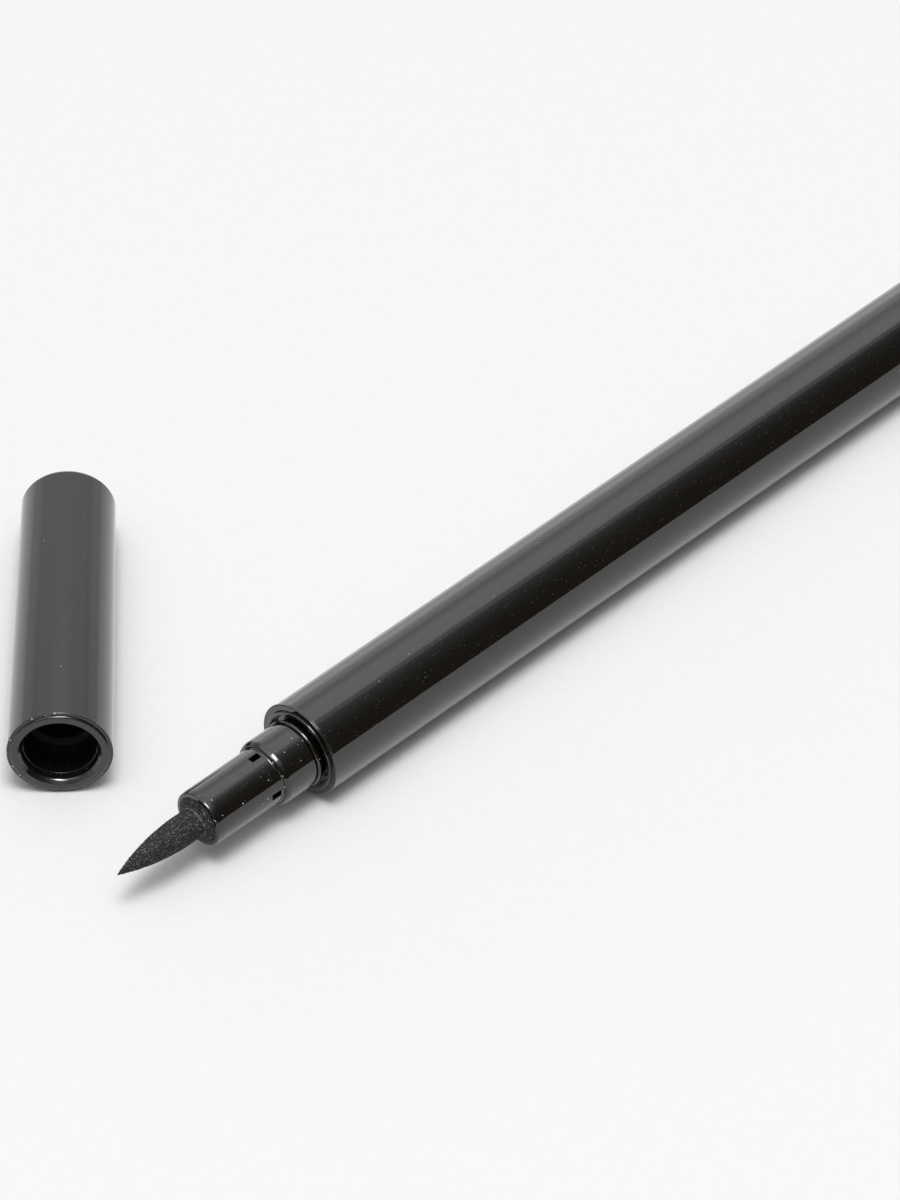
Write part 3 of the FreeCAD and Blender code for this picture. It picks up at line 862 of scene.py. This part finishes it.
def cap_placement(size):
    """Matrix from the cap's own axis to the place where the cap lies."""
    taper = math.atan((size.mouth_radius - size.end_radius) / size.length)
    height = cad_low.z + size.mouth_radius * math.cos(taper)
    place = Matrix.Translation((size.mouth_x, size.mouth_y, height))
    return place @ Matrix.Rotation(size.turned, 4, "Z") @ Matrix.Rotation(taper, 4, "Y")


def lay_cap_down(piece, size):
    """Move a cap piece from its own axis to the place where the cap lies, in its mesh."""
    piece.matrix_world = cap_placement(size)
    make_active(piece)
    bpy.ops.object.transform_apply(location=True, rotation=True, scale=True)


class EYELINER_OT_cap_shell(Operator):
    """Model the tapered cap shell with its rounded rim and end"""

    bl_idname = "eyeliner.build_cap_shell"
    bl_label = "Cap shell"

    def execute(self, context):
        pen = context.scene.eyeliner_pen
        size = pen.cap
        end_inside = size.length - size.end_wall
        piece = turned_piece("pen_cap_shell", [
            (0.0, size.mouth_radius - size.wall),
            (0.0, size.mouth_radius, size.rim_round, 4),
            (size.length, size.end_radius, size.end_round, 10),
            (size.length, 0.0),
            (end_inside, 0.0),
            (end_inside, cap_bore_at(size, end_inside)),
        ], pen.barrel.segments)
        smooth_piece(piece)
        lay_cap_down(piece, size)
        looks = pen.looks
        material = gloss_material(
            "pen_cap_satin", looks, looks.black, looks.cap_roughness, CAP_DUST, rim=size,
        )
        finish_piece(piece, material, "cap", "cap_shell")
        return {"FINISHED"}


class EYELINER_OT_inner_cap(Operator):
    """Model the stepped inner cap with its flange, lead-in, bores and ribs"""

    bl_idname = "eyeliner.build_inner_cap"
    bl_label = "Inner cap"

    def execute(self, context):
        pen = context.scene.eyeliner_pen
        size = pen.cap
        outside = size.bore_radius + size.liner_wall
        tip_outside = size.tip_radius + size.liner_wall
        end = size.tip_rear + size.liner_wall
        end_round, bore_break, land_drop = 0.5 * MM, 0.04 * MM, 0.03 * MM
        piece = turned_piece("pen_inner_cap", [
            (size.flange_front, size.lead_radius),
            (size.flange_front, size.flange_radius, size.flange_round),
            (0.0, size.flange_radius),
            (0.0, cap_bore_at(size, 0.0) - size.press_gap),
            (size.collar_rear, cap_bore_at(size, size.collar_rear) - size.press_gap),
            (size.collar_rear, outside),
            (size.seal_rear, outside),
            (size.tip_front, tip_outside),
            (end, tip_outside, end_round, 6),
            (end, 0.0),
            (size.tip_rear, 0.0),
            (size.tip_rear, size.tip_radius),
            (size.tip_front, size.tip_radius),
            (size.seal_rear, size.seal_radius),
            (size.seal_front, size.seal_radius),
            (size.bore_rear, size.bore_radius),
            (size.bore_front, size.bore_radius, bore_break, 4),
            (size.bore_front, size.land_radius - land_drop),
            (size.lead_rear, size.land_radius, size.lead_round, 12),
        ], pen.barrel.segments)
        ribs = 6
        rib_top = cap_bore_at(size, size.seal_rear) - 0.05 * MM
        for number in range(ribs):
            rib = box_object(
                "rib_tool_%d" % number,
                (size.collar_rear - 0.2 * MM, -size.rib_width / 2, outside - size.liner_wall / 2),
                (size.seal_rear - 0.01 * MM, size.rib_width / 2, rib_top),
            )
            rib.rotation_euler = (math.tau * number / ribs, 0.0, 0.0)
            combine(piece, rib, "UNION")
        smooth_piece(piece)
        lay_cap_down(piece, size)
        looks = pen.looks
        material = gloss_material(
            "pen_liner_black", looks, looks.liner, looks.liner_roughness, LINER_DUST,
            matt_inside=size,
        )
        finish_piece(piece, material, "cap", "inner_cap")
        return {"FINISHED"}


class EYELINER_OT_inner_pieces(Operator):
    """Finish the pieces hidden in the barrel: holder, feed rod, collector and mixing ball"""

    bl_idname = "eyeliner.finish_inner_pieces"
    bl_label = "Inner pieces"

    def execute(self, context):
        looks = context.scene.eyeliner_pen.looks
        plastic = plain_material("pen_feed_plastic", tuple(looks.natural), 0.4, 1800.0)
        finishes = {
            "brush_holder": plastic,
            "collector": plastic,
            "feed_rod": plain_material("pen_feed_fibre", tuple(looks.feed), 0.8, 6500.0),
            "mixing_ball": plain_material("pen_ball_steel", tuple(looks.steel), 0.18, 3000.0, 1.0),
        }
        for node, material in finishes.items():
            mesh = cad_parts[node].data
            mesh.materials.clear()
            mesh.materials.append(material)
        return {"FINISHED"}


def studio_world(name, towards, stage):
    """Room round the object: a bright far side, a dim near side and a glow round the key light."""
    world = bpy.data.worlds.new(name)
    world.use_nodes = True
    tree = world.node_tree
    tree.nodes.clear()
    direction = add_node(tree, "ShaderNodeTexCoord").outputs["Generated"]
    axes = add_node(tree, "ShaderNodeSeparateXYZ", {0: direction})
    across, up = axes.outputs["Y"], axes.outputs["Z"]
    bright = ramp(tree, up, [
        (0.0, (0.81, 0.80, 0.79)), (0.12, (0.88, 0.87, 0.86)), (0.23, (0.88, 0.87, 0.86)),
        (0.32, (0.68, 0.675, 0.67)), (0.43, (0.74, 0.735, 0.735)), (0.52, (0.635, 0.63, 0.635)),
        (0.58, (0.575, 0.57, 0.58)), (0.63, (0.625, 0.62, 0.63)), (0.67, (0.725, 0.72, 0.73)),
        (0.78, (0.93, 0.92, 0.935)), (0.86, (0.9, 0.89, 0.905)), (0.96, (0.62, 0.61, 0.625)),
        (1.0, (0.35, 0.345, 0.355)),
    ])
    slope = calc(tree, "DIVIDE", across, calc(tree, "MAXIMUM", up, 0.02))
    far_side = rescale(tree, slope, -0.3, 0.15, 0.0, 1.0)
    edge = ramp(tree, far_side, [
        (0.0, 0.0), (0.12, 0.05), (0.25, 0.3), (0.34, 0.32), (0.4, 0.24), (0.47, 0.32),
        (0.6, 0.85), (0.75, 1.0),
    ])
    near_side = rescale(tree, slope, -3.0, 0.0, 0.0, 1.0)
    dim = ramp(tree, near_side, [
        (0.0, (0.055, 0.044, 0.03)), (0.66, (0.055, 0.046, 0.034)), (0.84, (0.07, 0.064, 0.056)),
        (0.92, (0.14, 0.136, 0.132)), (1.0, (0.22, 0.22, 0.22)),
    ])
    plan = vector_calc(tree, "MULTIPLY", direction, (1.0, 1.0, 0.0))
    plan = vector_calc(tree, "NORMALIZE", plan)
    middle = (math.cos(stage.room_turn), math.sin(stage.room_turn), 0.0)
    facing_middle = vector_calc(tree, "DOT_PRODUCT", plan, middle)
    flank = rescale(tree, facing_middle, 0.74, 0.96, 0.5, 0.0)
    flank = calc(tree, "MULTIPLY", flank, rescale(tree, up, 0.5, 0.7, 1.0, 0.0))
    bright = blend_colours(tree, flank, bright, (0.0, 0.0, 0.0))
    room = blend_colours(tree, edge, dim, bright)
    path = add_node(tree, "ShaderNodeLightPath")
    matt = calc(tree, "MULTIPLY", path.outputs["Is Diffuse Ray"], 1.0 - stage.room_light)
    room = blend_colours(tree, matt, room, (stage.even_light / ROOM_STRENGTH,) * 3)
    facing = vector_calc(tree, "DOT_PRODUCT", direction, tuple(towards))
    away = calc(tree, "SUBTRACT", facing, 1.0)
    halo = calc(tree, "EXPONENT", calc(tree, "DIVIDE", away, stage.glow_spread))
    halo = calc(tree, "MULTIPLY", halo, stage.glow / ROOM_STRENGTH)
    halo = vector_calc(tree, "MULTIPLY", (0.95, 0.98, 1.0), halo)
    light = vector_calc(tree, "ADD", room, halo)
    plain = (ROOM_SEEN / ROOM_STRENGTH,) * 3
    seen = blend_colours(tree, path.outputs["Is Camera Ray"], light, plain)
    background = add_node(
        tree, "ShaderNodeBackground", {"Color": seen, "Strength": ROOM_STRENGTH},
    )
    output = add_node(tree, "ShaderNodeOutputWorld")
    tree.links.new(background.outputs[0], output.inputs["Surface"])
    return world


def floor_material(looks, mirror):
    """Plain pale matt board, a little brighter where glossy surfaces mirror it."""
    material, tree, place = start_material("studio_floor")
    grain = noise(tree, place, 900.0, 2.0)
    tint = tuple(looks.floor)
    darker = tuple(0.985 * part for part in tint)
    base = blend_colours(tree, rescale(tree, grain, 0.3, 0.7, 0.0, 1.0), darker, tint)
    path = add_node(tree, "ShaderNodeLightPath")
    end_material(tree, {
        "Base Color": base,
        "Roughness": 0.9,
        "Specular IOR Level": 0.0,
        "Emission Color": (1.0, 1.0, 1.0),
        "Emission Strength": calc(tree, "MULTIPLY", path.outputs["Is Glossy Ray"], mirror),
    })
    return material


class EYELINER_OT_stage(Operator):
    """Set the floor, the studio light and the camera at the photo's view"""

    bl_idname = "eyeliner.build_stage"
    bl_label = "Stage"

    def execute(self, context):
        pen = context.scene.eyeliner_pen
        stage, scene = pen.stage, context.scene
        scene.view_settings.view_transform = "Standard"
        bpy.ops.object.select_all(action="DESELECT")
        bpy.ops.mesh.primitive_plane_add(size=stage.floor_size, enter_editmode=True)
        floor = context.object
        floor.name = "studio_floor"
        bpy.ops.mesh.select_all(action="SELECT")
        bpy.ops.mesh.subdivide(number_cuts=3)
        bpy.ops.transform.translate(value=(0.0, 0.0, cad_low.z))
        bpy.ops.object.mode_set(mode="OBJECT")
        floor.data.materials.append(floor_material(pen.looks, stage.floor_mirror))

        towards = Vector((
            math.cos(stage.key_rise) * math.cos(stage.key_turn),
            math.cos(stage.key_rise) * math.sin(stage.key_turn),
            math.sin(stage.key_rise),
        ))
        scene.world = studio_world("studio_room", towards, stage)
        bpy.ops.object.light_add(type="AREA", location=towards * stage.key_distance)
        key = context.object
        key.name = "key_light"
        key.rotation_euler = towards.to_track_quat("Z", "Y").to_euler()
        key.data.shape = "DISK"
        key.data.size = stage.key_size
        key.data.energy = stage.key_power
        key.data.color = stage.key_tint

        # The panel gives glossy rounds their wide highlights and lights no matt surface
        bpy.ops.object.light_add(type="AREA", location=stage.panel_place)
        panel = context.object
        panel.name = "gloss_panel"
        panel.data.shape = "RECTANGLE"
        panel.data.size, panel.data.size_y = stage.panel_length, stage.panel_width
        panel.data.energy = stage.panel_power
        panel.data.color = stage.key_tint
        panel.visible_diffuse = False
        panel.visible_camera = False

        view = Vector((
            math.cos(stage.dip) * math.cos(stage.heading),
            math.cos(stage.dip) * math.sin(stage.heading),
            -math.sin(stage.dip),
        ))
        bpy.ops.object.camera_add(location=stage.camera)
        camera = context.object
        camera.name = "photo_camera"
        camera.rotation_euler = view.to_track_quat("-Z", "Y").to_euler()
        camera.data.sensor_width = 36.0
        camera.data.lens = stage.lens
        camera.data.clip_start = 0.01
        camera.data.clip_end = 20.0
        scene.camera = camera
        return {"FINISHED"}


OPERATORS = (
    EYELINER_OT_stage,
    EYELINER_OT_barrel,
    EYELINER_OT_front_ring,
    EYELINER_OT_front_section,
    EYELINER_OT_brush_tip,
    EYELINER_OT_tail_plug,
    EYELINER_OT_cap_shell,
    EYELINER_OT_inner_cap,
    EYELINER_OT_inner_pieces,
)


class VIEW3D_PT_eyeliner_pen(Panel):
    """Sidebar panel with the pen's pieces"""

    bl_idname = "VIEW3D_PT_eyeliner_pen"
    bl_label = "Eyeliner pen"
    bl_space_type = "VIEW_3D"
    bl_region_type = "UI"
    bl_category = "Eyeliner pen"

    def draw(self, context):
        for operator in OPERATORS:
            self.layout.operator(operator.bl_idname)


CLASSES = (
    EyelinerBarrel,
    EyelinerFront,
    EyelinerCap,
    EyelinerLooks,
    EyelinerStage,
    EyelinerPen,
    *OPERATORS,
    VIEW3D_PT_eyeliner_pen,
)


def register():
    for made in CLASSES:
        bpy.utils.register_class(made)
    bpy.types.Scene.eyeliner_pen = PointerProperty(type=EyelinerPen)


def unregister():
    del bpy.types.Scene.eyeliner_pen
    for made in reversed(CLASSES):
        bpy.utils.unregister_class(made)


def main():
    register()
    bpy.ops.eyeliner.build_stage()
    bpy.ops.eyeliner.build_barrel()
    bpy.ops.eyeliner.build_front_ring()
    bpy.ops.eyeliner.build_front_section()
    bpy.ops.eyeliner.build_brush_tip()
    bpy.ops.eyeliner.build_tail_plug()
    bpy.ops.eyeliner.build_cap_shell()
    bpy.ops.eyeliner.build_inner_cap()
    bpy.ops.eyeliner.finish_inner_pieces()


if __name__ == "__main__":
    main()
